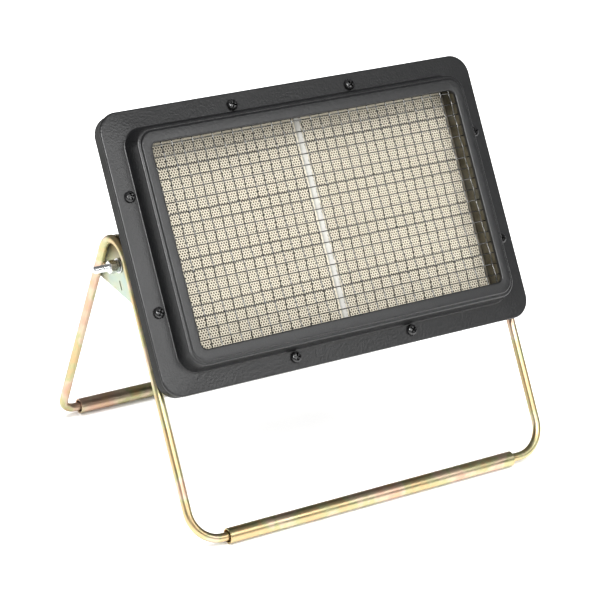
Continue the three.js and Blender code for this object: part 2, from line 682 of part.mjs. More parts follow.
// Brass jet: drilled tip, hexagon seated on the yoke and a thread through it
function injectorNozzle() {
  const { tip, face, hex, hexLength, tipLength, bore, thread, threadLength } = JET;
  const across = hex / 2;
  const hexEnd = -tipLength - hexLength;
  const end = hexEnd - threadLength;
  const body = turned([
    [bore, 0], [face, 0], [tip, -tipLength / 2], [tip, -tipLength], [across, -tipLength],
    [across, hexEnd], [thread / 2, hexEnd], [thread / 2, end], [thread / 4, end],
    [thread / 4, -tipLength], [bore, -tipLength / 2],
  ], 6);
  return body.rotateZ(PI / 6).translate(0, 0, jetTip);
}

// Hose barb screwed over the jet's thread, with a hexagon collar and sloped crests
function gasInletBarb() {
  const { collar, web, stem, bore, crest, pitch, slope, count } = BARB;
  const socket = JET.thread / 2 + GAP;
  const outside = [[BARB.flats / 2, 0], [BARB.flats / 2, -collar], [stem, -collar]];
  for (let i = 0; i < count; i++) {
    const root = -collar - (i + 1) * pitch + slope;
    outside.push([stem, root], [crest, root], [stem, root - slope]);
  }
  const end = -collar - (count + 1) * pitch + slope;
  outside.push([stem, end]);
  const inside = [[bore, end], [bore, -collar + web], [socket, -collar + web], [socket, 0]];
  return turned([...outside, ...inside]).translate(0, 0, barbTop);
}

// Pan-head screw with its seat at height 0 and its shank along -Z. The dome is given as parts of the
// head's diameter and height.
function panScrew({ diameter, head, headHeight, length }) {
  return turned([
    [0, headHeight], [head * 0.3, headHeight * 0.92], [head * 0.46, headHeight * 0.55], [head / 2, 0],
    [diameter / 2, 0], [diameter / 2, -length], [0, -length],
  ], 10);
}

piece('front_frame', frontFrame(), blackEnamel, head);
piece('rear_housing', rearHousing(), blackEnamel, head);
piece('wire_guard', wireGuard(), wireSteel, head);
piece('burner_box', burnerBox(), dullSteel, head);
for (const [side, label] of [[-1, 'left'], [1, 'right']]) {
  piece(`plaque_${label}`, plaque(), ceramic, head).position.x = side * (SEAM_WIDTH + PLAQUE_WIDTH) / 2;
}
const seamDepth = PLAQUE_THICKNESS + SEAM_PROUD;
const seam = box(SEAM_WIDTH - 2 * GAP, 2 * PLAQUE_HALF_HEIGHT, seamDepth, 0, 0, plaqueBack + seamDepth / 2);
piece('centre_seam', seam, cement, head);
piece('plaque_gasket', plaqueGasket(), cement, head);
piece('baffle_plate', bafflePlate(), dullSteel, head);
piece('mixer_tube', mixerTube(), brightZinc, head);
piece('injector_yoke', injectorYoke(), brightZinc, head);
piece('injector_nozzle', injectorNozzle(), brass, head);
piece('gas_inlet_barb', gasInletBarb(), brass, head);
const inletNut = hexNut(INLET_NUT.flats, JET.thread / 2 + GAP, INLET_NUT.length);
piece('inlet_nut', inletNut.translate(0, 0, webBack - GAP - INLET_NUT.length), brass, head);

const nutSeat = flangeUnder - GAP - FLANGE_NUT.length;
flangeScrews.forEach(([x, y], i) => {
  piece(`flange_screw_${i + 1}`, panScrew(FLANGE_SCREW), blackSteel, head).position.set(x, y, GAP);
  const nut = hexNut(FLANGE_NUT.flats, FLANGE_SCREW.diameter / 2 + GAP, FLANGE_NUT.length);
  piece(`flange_nut_${i + 1}`, nut, brightZinc, head).position.set(x, y, nutSeat);
});

const standoffLength = boxBack - housingFloor - 2 * GAP;
burnerScrews.forEach(([x, y], i) => {
  const standoff = ringWasher(STANDOFF_DIAMETER / 2, BURNER_SCREW.diameter / 2 + GAP, standoffLength);
  piece(`burner_standoff_${i + 1}`, standoff, brightZinc, head).position.set(x, y, housingFloor + GAP);
  const screw = piece(`burner_screw_${i + 1}`, panScrew(BURNER_SCREW), blackSteel, head);
  screw.position.set(x, y, housingBack - GAP);
  screw.rotation.x = PI;
});

yokeFeet.forEach((x, i) => {
  const screw = piece(`yoke_screw_${i + 1}`, panScrew(YOKE_SCREW), blackSteel, head);
  screw.position.set(x, 0, housingBack - 2 * GAP - YOKE.thickness);
  screw.rotation.x = PI;
});

// Tilt hardware, on the pivot axis: a stud from inside the housing, then spacer, gusset, two washers
// and a nut, with the rest of the thread standing out
const washerStart = gussetOuter + GAP;
const springStart = washerStart + WASHER.thickness + GAP;
const nutStart = springStart + SPRING_WASHER.thickness + GAP;
const studEnd = nutStart + PIVOT_NUT.length + PIVOT_BOLT.beyondNut;
const headSeat = housingInner.w - GAP;

function pivotBolt() {
  const { head: across, headHeight } = PIVOT_BOLT;
  const headTop = headSeat - headHeight;
  return turned([
    [0, headTop], [across * 0.4, headTop], [across / 2, headTop + headHeight / 2],
    [across / 2, headSeat], [boltRadius, headSeat], [boltRadius, studEnd - STUD_CHAMFER],
    [boltRadius - STUD_CHAMFER, studEnd], [0, studEnd],
  ]);
}

for (const [side, label] of [[-1, 'left'], [1, 'right']]) {
  const axis = new THREE.Group();
  axis.rotation.y = (side * PI) / 2;
  pivotFrame.add(axis);
  const bore = boltRadius + GAP;
  const ring = (diameter, length) => ringWasher(diameter / 2, bore, length);
  const stack = [
    ['pivot_spacer', ring(SPACER.diameter, SPACER.length), spacerStart],
    ['pivot_washer', ring(WASHER.diameter, WASHER.thickness), washerStart],
    ['pivot_spring_washer', ring(SPRING_WASHER.diameter, SPRING_WASHER.thickness), springStart],
    ['pivot_nut', hexNut(PIVOT_NUT.flats, bore, PIVOT_NUT.length), nutStart],
  ];
  piece(`pivot_bolt_${label}`, pivotBolt(), brightZinc, axis);
  for (const [name, geometry, start] of stack) {
    piece(`${name}_${label}`, geometry, brightZinc, axis).position.z = start;
  }
}

export default group;
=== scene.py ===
"""A portable infrared gas heater for the floor or a bench, dressed for its picture.

Two perforated ceramic plaques lie behind a woven wire guard in a black enamelled head, which tilts
on two side bolts in a stand of bent, yellow-passivated rod. The heater is off. The file builds it in
the order in which the real one is put together, from the stand up to the tilt bolts.
"""

import bpy
import bmesh
import numpy as np
from mathutils import Matrix, Vector


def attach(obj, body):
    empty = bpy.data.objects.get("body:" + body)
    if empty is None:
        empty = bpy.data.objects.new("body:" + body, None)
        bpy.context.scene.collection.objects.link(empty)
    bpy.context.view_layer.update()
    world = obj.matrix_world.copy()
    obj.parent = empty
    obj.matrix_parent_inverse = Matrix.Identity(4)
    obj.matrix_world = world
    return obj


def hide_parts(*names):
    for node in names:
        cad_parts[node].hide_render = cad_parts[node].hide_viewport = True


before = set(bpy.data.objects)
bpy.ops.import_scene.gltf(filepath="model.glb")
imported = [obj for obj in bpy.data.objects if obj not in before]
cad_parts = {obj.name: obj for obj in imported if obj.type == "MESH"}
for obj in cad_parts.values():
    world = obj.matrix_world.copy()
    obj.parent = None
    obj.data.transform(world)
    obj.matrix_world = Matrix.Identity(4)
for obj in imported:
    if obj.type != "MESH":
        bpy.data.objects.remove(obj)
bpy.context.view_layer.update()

# ---------- Camera ----------
# A long lens from the front left and above, turned and tilted as the photograph was taken.
CAMERA_PLACE = (-0.86729, -1.22137, 0.89467)
CAMERA_YAW, CAMERA_TILT, CAMERA_ROLL = -34.976, 62.270, 5.509
LENS, SENSOR = 149.21, 36

camera = bpy.data.objects.new("camera", bpy.data.cameras.new("camera"))
camera.data.lens = LENS
camera.data.sensor_width = SENSOR
camera.matrix_world = (
    Matrix.Translation(CAMERA_PLACE)
    @ Matrix.Rotation(np.radians(CAMERA_YAW), 4, "Z")
    @ Matrix.Rotation(np.radians(CAMERA_TILT), 4, "X")
    @ Matrix.Rotation(np.radians(CAMERA_ROLL), 4, "Z")
)
bpy.context.scene.collection.objects.link(camera)
bpy.context.scene.camera = camera

# ---------- Studio ----------
# A white paper floor in a pale room, with soft boxes in front, above and beside the lens. The last one
# and two grey cards on the floor are seen only in reflections, and draw the edges of enamel and metal.
PAPER, PAPER_FIBRE = (0.97, 0.97, 0.965), (0.95, 0.95, 0.95)
PAPER_HALF = 8
ROOM_LIGHT, ROOM_MIRRORED = 1.3, 0.23
AIM = (0.0, 0.0, 0.13)
SOFT_BOXES = {
    "key_box": {"place": (0.66, -1.45, 1.28), "size": (0.9, 0.8), "power": 11},
    "lens_box": {"place": (-0.55, -1.05, 1.27), "size": (0.6, 0.45), "power": 28, "lights": False},
    "top_box": {"place": (-0.1, -0.2, 2.6), "size": (3.0, 3.0), "power": 130, "mirrored": False},
}
CARDS = {"left_flag": ((-3, -0.25), (-0.19, 3), 0.85), "rear_flag": ((-0.19, 0.13), (3, 3), 0.6)}
CARD_LIFT = 0.0005


class Socket:
    """A node's output. Python's operators on it add Math nodes, with a number or another socket."""

    def __init__(self, finish, output):
        self.finish, self.output = finish, output

    def maths(self, operation, *terms):
        """A Math node over these terms."""
        return self.finish.node("Math", {"operation": operation}, dict(enumerate(terms)))

    def __add__(self, other):
        return self.maths("ADD", self, other)

    def __mul__(self, other):
        return self.maths("MULTIPLY", self, other)

    __radd__, __rmul__ = __add__, __mul__


class Finish:
    """A material with one Principled shader, and a way to add any node to it."""

    def __init__(self, name, **constants):
        self.material = bpy.data.materials.new(name)
        self.material.use_nodes = True
        self.tree = self.material.node_tree
        self.shader = self.tree.nodes["Principled BSDF"]
        self.set(**constants)

    def node(self, kind, settings=None, inputs=None, output=0):
        """A node of this kind, with its settings made first, and then its sockets filled."""
        made = self.tree.nodes.new("ShaderNode" + kind)
        for name, value in (settings or {}).items():
            if name == "stops":
                for place, colour in value[2:]:
                    made.color_ramp.elements.new(place)
                for stop, (place, colour) in zip(made.color_ramp.elements, sorted(value)):
                    stop.position, stop.color = place, (*colour, 1)
            else:
                setattr(made, name, value)
        for name, value in (inputs or {}).items():
            self.fill(made.inputs[name], value)
        return Socket(self, made.outputs[output])

    def fill(self, socket, value):
        """An input socket linked to another's output, or set to a value."""
        if isinstance(value, Socket):
            self.tree.links.new(value.output, socket)
        else:
            socket.default_value = value

    def set(self, **inputs):
        """Inputs of the Principled shader, by name, each a value or a socket."""
        for name, value in inputs.items():
            self.fill(self.shader.inputs[name.replace("_", " ")], value)

    def place(self):
        """Object coordinates, in metres."""
        return self.node("TexCoord", output="Object")

    def noise(self, grain, detail=3, squeeze=(1, 1, 1)):
        """Noise whose patches are about this many millimetres across, over the squeeze on each axis."""
        where = self.node("Mapping", None, {"Vector": self.place(), "Scale": squeeze})
        inputs = {"Vector": where, "Scale": 1000 / grain, "Detail": detail, "Roughness": 0.55}
        return self.node("TexNoise", None, inputs)

    def ramp(self, value, *stops):
        """A colour for the value, run between (place, colour) stops."""
        return self.node("ValToRGB", {"stops": list(stops)}, {"Fac": value})

    def between(self, value, low, high, first=0.0, last=1.0):
        """The value carried from low..high to first..last, and held there."""
        inputs = {"Value": value, 1: low, 2: high, 3: first, 4: last}
        return self.node("MapRange", {"clamp": True}, inputs)

    def blend(self, amount, first, second):
        """From the first colour to the second."""
        first, second = (c if isinstance(c, Socket) else (*c, 1) for c in (first, second))
        return self.node("Mix", {"data_type": "RGBA"}, {0: amount, 6: first, 7: second}, output=2)

    def bump(self, height, depth):
        """Relief of this many millimetres."""
        inputs = {"Height": height, "Distance": depth / 1000, "Strength": 1.0}
        self.set(Normal=self.node("Bump", None, inputs))


scene = bpy.context.scene
scene.view_settings.view_transform = "Standard"
scene.world = bpy.data.worlds.new("room")
scene.world.use_nodes = True
room = scene.world.node_tree
room.nodes["Background"].inputs["Color"].default_value = (1, 1, 1, 1)
mirrored = room.nodes.new("ShaderNodeLightPath").outputs["Is Glossy Ray"]
level = room.nodes.new("ShaderNodeMapRange")
level.inputs["To Min"].default_value = ROOM_LIGHT
level.inputs["To Max"].default_value = ROOM_MIRRORED
room.links.new(mirrored, level.inputs["Value"])
room.links.new(level.outputs[0], room.nodes["Background"].inputs["Strength"])

for name, box in SOFT_BOXES.items():
    light = bpy.data.objects.new(name, bpy.data.lights.new(name, "AREA"))
    light.data.shape = "RECTANGLE"
    light.data.size, light.data.size_y = box["size"]
    light.data.energy = box["power"]
    light.visible_glossy = box.get("mirrored", True)
    light.visible_diffuse = box.get("lights", True)
    away = Vector(box["place"]) - Vector(AIM)
    facing = away.to_track_quat("Z", "Y").to_matrix().to_4x4()
    light.matrix_world = Matrix.Translation(box["place"]) @ facing
    scene.collection.objects.link(light)


def sheet(name, first, last, height, finish):
    """A level rectangle between two corners, which belongs to the studio."""
    (x0, y0), (x1, y1) = first, last
    corners = [(x0, y0, height), (x1, y0, height), (x1, y1, height), (x0, y1, height)]
    mesh = bpy.data.meshes.new(name)
    mesh.from_pydata(corners, [], [(0, 1, 2, 3)])
    mesh.materials.append(finish.material)
    made = bpy.data.objects.new(name, mesh)
    scene.collection.objects.link(made)
    return made


paper = Finish("paper", Roughness=0.9)
paper.set(Base_Color=paper.blend(paper.noise(3, 4), PAPER, PAPER_FIBRE))
sheet("floor", (-PAPER_HALF, -PAPER_HALF), (PAPER_HALF, PAPER_HALF), 0, paper)
for name, (first, last, grey) in CARDS.items():
    dull = Finish(name + "_card", Base_Color=(grey, grey, grey, 1), Roughness=1.0)
    card = sheet(name, first, last, CARD_LIFT, dull)
    card.visible_camera = card.visible_diffuse = card.visible_shadow = False

# ---------- Side rods ----------
# Each side of the stand is a hairpin of drawn steel rod, 6 mm thick, with both feet bent inwards
# to enter the floor tubes. It is zinc plated and yellow passivated, which shimmers pink and green.
ROD_RADIUS = 3.0
ROD_PLANE = 141.3
FOOT_Y, FOOT_Z = 92.9, 5.25
APEX_Y, APEX_Z = 36.1, 187.9
FRONT_END_X, REAR_END_X = 102, 113.5
FRONT_FOOT_BEND, ARCH_BEND, REAR_FOOT_BEND = 21, 17.1, 11
SIDES = ((-1, "left"), (1, "right"))

STRAW, ROSE = (0.53, 0.375, 0.20), (0.54, 0.355, 0.26)
LEAF, PALE = (0.42, 0.41, 0.22), (0.56, 0.45, 0.32)
FILM_TINTS = [(0.34, LEAF), (0.42, STRAW), (0.49, LEAF), (0.54, PALE), (0.62, ROSE), (0.7, STRAW)]


def unit(vector):
    """The vector over its own length."""
    return vector / np.linalg.norm(vector, axis=-1, keepdims=True)


def turned_about(vector, axis, angles):
    """The vector at each angle about an axis: v cos a + (k x v) sin a + k (k . v)(1 - cos a)."""
    a = angles[:, None]
    along = axis * (axis @ vector)
    return (vector - along) * np.cos(a) + np.cross(axis, vector) * np.sin(a) + along


def bent_line(corners, bends, degrees=5):
    """A line through corners with an arc at each inner one, as points, headings and a crossways
    direction that turns with the line. A point of an arc is its centre plus the turned radius."""
    corners = np.asarray(corners, float)
    heading = unit(corners[1] - corners[0])
    aside = unit(np.cross(heading, (0.1, 1.0, 0.2)))
    points, headings, asides = [corners[:1]], [heading[None]], [aside[None]]
    for corner, following, bend in zip(corners[1:], corners[2:], bends):
        onward = unit(following - corner)
        axis = unit(np.cross(heading, onward))
        turn = np.arccos(heading @ onward)
        angles = np.linspace(0, turn, max(4, int(np.degrees(turn) / degrees)))
        start = corner - heading * bend * np.tan(turn / 2)
        centre = start + np.cross(axis, heading) * bend
        points.append(centre + turned_about(start - centre, axis, angles))
        headings.append(turned_about(heading, axis, angles))
        asides.append(turned_about(aside, axis, angles))
        heading, aside = headings[-1][-1], asides[-1][-1]
    ends = [(points, corners[-1:]), (headings, heading[None]), (asides, aside[None])]
    return [np.concatenate([*found, last]) for found, last in ends]


def round_bar(line, radius, sides=28, ease=0.5):
    """Points of a bar: the line's point + radius (cos a aside + sin a (heading x aside)), with the
    radius drawn in over the eased ends."""
    points, headings, asides = line
    first, last = headings[0] * ease, headings[-1] * ease
    points = np.concatenate([points[:1], points[:1] + first, points[1:-1], points[-1:] - last, points[-1:]])
    headings, asides = (np.concatenate([v[:1], v, v[-1:]]) for v in (headings, asides))
    radii = np.full(len(points), float(radius))
    radii[[0, -1]] -= ease
    a = np.linspace(0, 2 * np.pi, sides, endpoint=False)[None, :, None]
    round_it = np.cos(a) * asides[:, None] + np.sin(a) * np.cross(headings, asides)[:, None]
    return points[:, None] + radii[:, None, None] * round_it


def skin(points, loop=False):
    """Quads over a grid of points that closes across its rows. A loop also joins its last row to
    its first, and anything else is capped at both ends."""
    rows, columns = points.shape[:2]
    i, j = np.meshgrid(np.arange(rows if loop else rows - 1), np.arange(columns), indexing="ij")
    below, beside = (i + 1) % rows, (j + 1) % columns
    corners = [i * columns + j, i * columns + beside, below * columns + beside, below * columns + j]
    faces = [np.stack(corners, -1).reshape(-1, 4)]
    if not loop:
        faces.append(np.arange(columns) + [[0], [(rows - 1) * columns]])
    return points.reshape(-1, 3), faces


def piece(name, parts, finish, body, nodes=(), crease=35):
    """A mesh of one or more parts, facing outwards and smooth up to the crease angle. It rides on a
    body and stands for the solids named. A part is its points, in millimetres, and its arrays of
    faces, which count from its own first point."""
    points = np.concatenate([part for part, _ in parts]) / 1000
    starts = np.cumsum([0] + [len(part) for part, _ in parts])
    arrays = [array + start for start, (_, faces) in zip(starts, parts) for array in faces]
    mesh = bpy.data.meshes.new(name)
    mesh.from_pydata(points.tolist(), [], [face for array in arrays for face in array.tolist()])
    work = bmesh.new()
    work.from_mesh(mesh)
    bmesh.ops.recalc_face_normals(work, faces=work.faces)
    work.to_mesh(mesh)
    work.free()
    mesh.polygons.foreach_set("use_smooth", np.ones(len(mesh.polygons), bool))
    mesh.set_sharp_from_angle(angle=np.radians(crease))
    mesh.materials.append(finish.material)
    made = bpy.data.objects.new(name, mesh)
    scene.collection.objects.link(made)
    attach(made, body)
    if nodes:
        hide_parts(*nodes)
    return made


zinc = Finish("yellow_zinc", Metallic=1.0)
drift = zinc.noise(26, 2)
film = zinc.noise(9, 3, (1, 1, 0.5))
zinc.set(
    Base_Color=zinc.ramp(drift * 0.7 + film * 0.3, *FILM_TINTS),
    Roughness=zinc.between(film, 0.3, 0.7, 0.28, 0.42),
)
zinc.bump(zinc.noise(0.6, 2), 0.01)

for side, label in SIDES:
    rod_line = bent_line(
        [
            (side * FRONT_END_X, -FOOT_Y, FOOT_Z),
            (side * ROD_PLANE, -FOOT_Y, FOOT_Z),
            (side * ROD_PLANE, APEX_Y, APEX_Z),
            (side * ROD_PLANE, FOOT_Y, FOOT_Z),
            (side * REAR_END_X, FOOT_Y, FOOT_Z),
        ],
        (FRONT_FOOT_BEND, ARCH_BEND, REAR_FOOT_BEND),
    )
    rod_skin = skin(round_bar(rod_line, ROD_RADIUS))
    piece(f"rod_{label}", [rod_skin], zinc, "stand", [f"side_rod_{label}"])

# ---------- Gussets and their welds ----------
# A 2 mm plate closes the top of each hairpin and carries the tilt bolt. It is welded to the rod round
# the crown and at both lower corners with rippled beads, and plated. Its crown is painted dark brown as a
# painted reflection of the arch.
PIVOT_DROP = 1.2
BEAD_PLANE, BEAD_RADIUS = 138.7, 1.1
BEAD_BEND = ARCH_BEND - 2.3
CROWN_BEAD, CORNER_BEAD = 34.0, 6.0
BEAD_DROP = 17.5
PLATE_TINTS = [(0.3, (0.40, 0.355, 0.23)), (0.45, (0.38, 0.425, 0.32)), (0.7, (0.34, 0.43, 0.38))]
# Painted reflection: the plate turns dark brown from 148 to 161 mm up, standing in for the arch's dark
# reflection at the crown.
PAINTED_CROWN_REFLECTION, PAINTED_CROWN_REFLECTION_FROM, PAINTED_CROWN_REFLECTION_TO, PAINTED_CROWN_REFLECTION_MOST = (0.15, 0.11, 0.05), 0.148, 0.161, 0.9

legs = unit(np.array([(-FOOT_Y - APEX_Y, FOOT_Z - APEX_Z), (FOOT_Y - APEX_Y, FOOT_Z - APEX_Z)]))
outwards = np.stack([legs[:, 1], -legs[:, 0]], -1) * ((1,), (-1,))
middle = unit(legs.sum(0))
arch_centre = (APEX_Y, APEX_Z) + middle * ARCH_BEND / np.sqrt(1 - (legs[0] @ middle) ** 2)
pivot = np.array((0, arch_centre[0], arch_centre[1] - PIVOT_DROP))


def rounded(target, width, segments=2, weld=False):
    """Sharp edges of a piece rounded by this many millimetres."""
    if weld:
        target.modifiers.new("weld", "WELD").merge_threshold = 1e-6
    bevel = target.modifiers.new("edges", "BEVEL")
    bevel.width, bevel.segments = width / 1000, segments
    bevel.limit_method, bevel.angle_limit = "ANGLE", np.radians(40)


def shown(node, finish):
    """A solid of the CAD, seen as it is, in this finish."""
    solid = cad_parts[node]
    solid.data.materials.clear()
    solid.data.materials.append(finish.material)
    return solid


def weld_bead(line, seed):
    """A bar along a line, whose radius at station s is
    r (1 + 0.2 |sin(0.9 s + seed)| + 0.1 sin(0.37 s + 2 seed))."""
    points = round_bar(line, BEAD_RADIUS, sides=14, ease=0.4)
    core = points.mean(1, keepdims=True)
    s = np.arange(len(points))[:, None, None]
    swell = 1 + 0.2 * np.abs(np.sin(0.9 * s + seed)) + 0.1 * np.sin(0.37 * s + 2 * seed)
    return skin(core + (points - core) * swell)


leafy = Finish("yellow_zinc_plate", Metallic=0.6)
sheen = leafy.noise(12, 3)
height = leafy.node("SeparateXYZ", None, {"Vector": leafy.place()}, output=2)
# Mask of the painted dark reflection over the plate's crown, ragged by the sheen noise.
crown_reflection_mask = leafy.between(height + sheen * 0.008, PAINTED_CROWN_REFLECTION_FROM, PAINTED_CROWN_REFLECTION_TO, 0.0, PAINTED_CROWN_REFLECTION_MOST)
leafy.set(
    Base_Color=leafy.blend(crown_reflection_mask, leafy.ramp(sheen, *PLATE_TINTS), PAINTED_CROWN_REFLECTION),
    Roughness=leafy.between(sheen, 0.3, 0.7, 0.30, 0.42),
)
a = np.radians(np.linspace(90 - CROWN_BEAD, 90 + CROWN_BEAD, 30))
runs = [arch_centre + BEAD_BEND * np.stack([np.cos(a), np.sin(a)], -1)]
for leg, outward in zip(legs, outwards):
    lowest = arch_centre + outward * BEAD_BEND + leg * (BEAD_DROP / abs(leg[1]))
    runs.append(lowest - leg * np.linspace(0, CORNER_BEAD, 16)[:, None])
for side, label in SIDES:
    rounded(shown(f"gusset_{label}", leafy), 0.3, weld=True)
    beads = []
    for number, run in enumerate(runs):
        points = np.column_stack([np.full(len(run), side * BEAD_PLANE), run])
        headings = unit(np.gradient(points, axis=0))
        line = [points, headings, np.broadcast_to((1.0, 0, 0), points.shape)]
        beads.append(weld_bead(line, number + side))
    piece(f"weld_beads_{label}", beads, zinc, "stand", crease=60)

# ---------- Floor tubes ----------
# Two lengths of 10.5 mm welded tube lie on the floor and take the rods' ends in a bush set 3 mm
# inside each mouth. They are plated like the rods, with their cut ends eased.
TUBE_RADIUS, TUBE_WALL, TUBE_EASE = 5.25, 1, 0.25
TUBES = {"front_tube": (-2.1, -FOOT_Y, 115.0), "rear_tube": (0.0, FOOT_Y, 127.5)}
BUSH_RECESS, BUSH_LENGTH, BUSH_BORE, BUSH_PLAY = 3, 8, 3.1, 0.02


def lathe(stations, sides=48):
    """Points of a turned piece: each (radius, height) carried round the Z axis."""
    radius, height = np.array(stations, float).T[:, :, None]
    a = np.linspace(0, 2 * np.pi, sides, endpoint=False)[None, :]
    return np.stack([radius * np.cos(a), radius * np.sin(a), height + 0 * a], -1)


def ring_section(inner, outer, low, high, ease=0.25):
    """A rectangle in (radius, height) with its corners eased."""
    return [
        (inner, low + ease), (inner + ease, low), (outer - ease, low), (outer, low + ease),
        (outer, high - ease), (outer - ease, high), (inner + ease, high), (inner, high - ease),
    ]


def along_x(points, side=1):
    """Heights laid along the X axis, to the side's own end."""
    x, y, z = np.moveaxis(points, -1, 0)
    return np.stack([side * z, y, x], -1)


for name, (x, y, half) in TUBES.items():
    inner = TUBE_RADIUS - TUBE_WALL
    sections = [ring_section(inner, TUBE_RADIUS, -half, half, TUBE_EASE)]
    for low in (BUSH_RECESS - half, half - BUSH_RECESS - BUSH_LENGTH):
        sections.append(ring_section(BUSH_BORE, inner - BUSH_PLAY, low, low + BUSH_LENGTH))
    rings = [skin(along_x(lathe(section, 64)) + (x, y, TUBE_RADIUS), loop=True) for section in sections]
    piece(f"{name}_rolled", rings, zinc, "stand", [name])

# ---------- Rear housing ----------
# A deep drawn pan of 1 mm steel, in a duller black enamel than the frame's. Its flange meets the
# frame's, and slots in its bottom let the mixer breathe. Heights are measured from the front flange.
FACE_SLOPE, PIVOT_DEPTH = np.radians(54), 35.7
run, rise = np.cos(FACE_SLOPE), np.sin(FACE_SLOPE)
HEAD_AXES = np.array([(1, 0, 0), (0, run, rise), (0, -rise, run)])
HEAD_PLACE = pivot + PIVOT_DEPTH * HEAD_AXES[2]
EDGE, SHEET = (146.4, 94.5, 14.0), 1.0
HOUSING_WALL = (128.0, 79.6, 12.0)
HOUSING_FOLDS = [(0.6, -10.4, 0), (0.6, -1.3, 1.8), (19.4, -1.3, 1.8), (19.4, -44, 3), (25.4, -44, 0)]
SLOT_WIDTH, SLOT_HEIGHT, SLOT_PITCH, SLOT_COUNT, SLOT_X = 34, 3, 9, 4, 66
MIXER_HOLE, CUT_HEIGHTS = 11.5, (-48, -40)
BLACK, SOFT_BLACK = (0.004, 0.0042, 0.0046), (0.0075, 0.0076, 0.008)
WARM_BLACK, DUSTY_BLACK = (0.004, 0.0042, 0.0038), (0.009, 0.009, 0.008)


def on_head(points):
    """Points (u along the heater, v up its face, n out of it) put in the stand's frame: the head's
    place plus each of them times its own axis."""
    return HEAD_PLACE + np.asarray(points, float) @ HEAD_AXES


def folded(corners, degrees=12):
    """A fold line through (inset, height, bend radius) corners, with true arcs."""
    flat = [(inset, height, 0) for inset, height, _ in corners]
    return bent_line(flat, [max(bend, 1e-3) for _, _, bend in corners[1:-1]], degrees)[0][:, :2]


def other_face(line, thickness):
    """The sheet's second face: each point moved across the fold line along its mitre, n / (n . a)."""
    step = unit(np.diff(line, axis=0))
    across = np.stack([step[:, 1], -step[:, 0]], -1)
    before, after = np.vstack([across[:1], across]), np.vstack([across, across[-1:]])
    mitre = unit(before + after)
    return line + mitre * thickness / np.sum(mitre * before, -1, keepdims=True)


def rounded_outlines(line, outlines, steps=16):
    """A ring at each (inset, height): a rounded rectangle that lies between nested outlines, each a
    (half width, half height, corner radius), and is offset evenly past the last of them. A corner
    is its centre plus r (cos a, sin a)."""
    inset, height = line.T
    knots = outlines[0][0] - np.array([o[0] for o in outlines])
    beyond = np.maximum(inset - knots[-1], 0)
    wide = outlines[0][0] - inset
    high = np.interp(inset, knots, [o[1] for o in outlines]) - beyond
    bend = np.maximum(np.interp(inset, knots, [o[2] for o in outlines]) - beyond, 0.5)
    quarter = np.repeat(np.arange(4), steps + 1)
    a = (quarter + np.tile(np.linspace(0, 1, steps + 1), 4)) * np.pi / 2
    sx, sy = np.array([1, -1, -1, 1])[quarter], np.array([1, 1, -1, -1])[quarter]
    u = sx * (wide - bend)[:, None] + bend[:, None] * np.cos(a)
    v = sy * (high - bend)[:, None] + bend[:, None] * np.sin(a)
    return np.stack([u, v, height[:, None] + 0 * u], -1)


def pressed(folds, outlines, bottom=False, steps=16, thickness=SHEET):
    """A pressing in sheet steel: both faces of the fold line carried round the outlines."""
    face = folded(folds)
    back = other_face(face, thickness)
    section = np.vstack([face[::-1], back]) if bottom else np.vstack([face, back[::-1]])
    return on_head(rounded_outlines(section, outlines, steps))


def cut_through(target, *parts):
    """Holes through a piece, cut by a boolean with the parts' closed skins and kept in its mesh."""
    tool = piece("cutter", parts, enamel, "head")
    step = target.modifiers.new("holes", "BOOLEAN")
    step.object, step.operation, step.solver = tool, "DIFFERENCE", "EXACT"
    bpy.context.view_layer.update()
    ready = target.evaluated_get(bpy.context.evaluated_depsgraph_get())
    mesh = bpy.data.meshes.new_from_object(ready)
    target.modifiers.remove(step)
    bpy.data.objects.remove(tool)
    target.data = mesh


def block(u, v, low, high):
    """A box over the ranges u and v, from low to high out of the face."""
    corners = [(u[0], v[0]), (u[1], v[0]), (u[1], v[1]), (u[0], v[1])]
    return skin(on_head([[(*corner, n) for corner in corners] for n in (low, high)]))


enamel = Finish("black_enamel", Metallic=0.0, Specular_IOR_Level=0.5)
grain = enamel.noise(1.5, 2)
cloud = enamel.noise(30, 3)
enamel.set(
    Base_Color=enamel.blend(cloud * 0.6 + grain * 0.4, BLACK, SOFT_BLACK),
    Roughness=enamel.between(grain * 0.5 + cloud * 0.5, 0.3, 0.7, 0.29, 0.37),
)
enamel.bump(grain, 0.16)

dusty = Finish("black_enamel_rear", Metallic=0.0, Specular_IOR_Level=0.12)
dust = dusty.noise(18, 4)
dusty.set(
    Base_Color=dusty.blend(dust, WARM_BLACK, DUSTY_BLACK),
    Roughness=dusty.between(dust, 0.3, 0.7, 0.42, 0.55),
)
dusty.bump(dusty.noise(0.9, 3), 0.09)
housing_skin = skin(pressed(HOUSING_FOLDS, [EDGE, HOUSING_WALL], bottom=True))
housing = piece("housing_pan", [housing_skin], dusty, "head", ["rear_housing"])
slot_u, slot_v = np.array((-SLOT_WIDTH, SLOT_WIDTH)) / 2, np.array((-SLOT_HEIGHT, SLOT_HEIGHT)) / 2
slots = [
    block(side * SLOT_X + slot_u, v + slot_v, *CUT_HEIGHTS)
    for side, _ in SIDES
    for v in (np.arange(SLOT_COUNT) - (SLOT_COUNT - 1) / 2) * SLOT_PITCH
]
mixer_hole = skin(on_head(lathe([(MIXER_HOLE, height) for height in CUT_HEIGHTS])))
cut_through(housing, mixer_hole, *slots)
rounded(housing, 0.2)
housing.modifiers.new("flat_faces", "WEIGHTED_NORMAL").keep_sharp = True

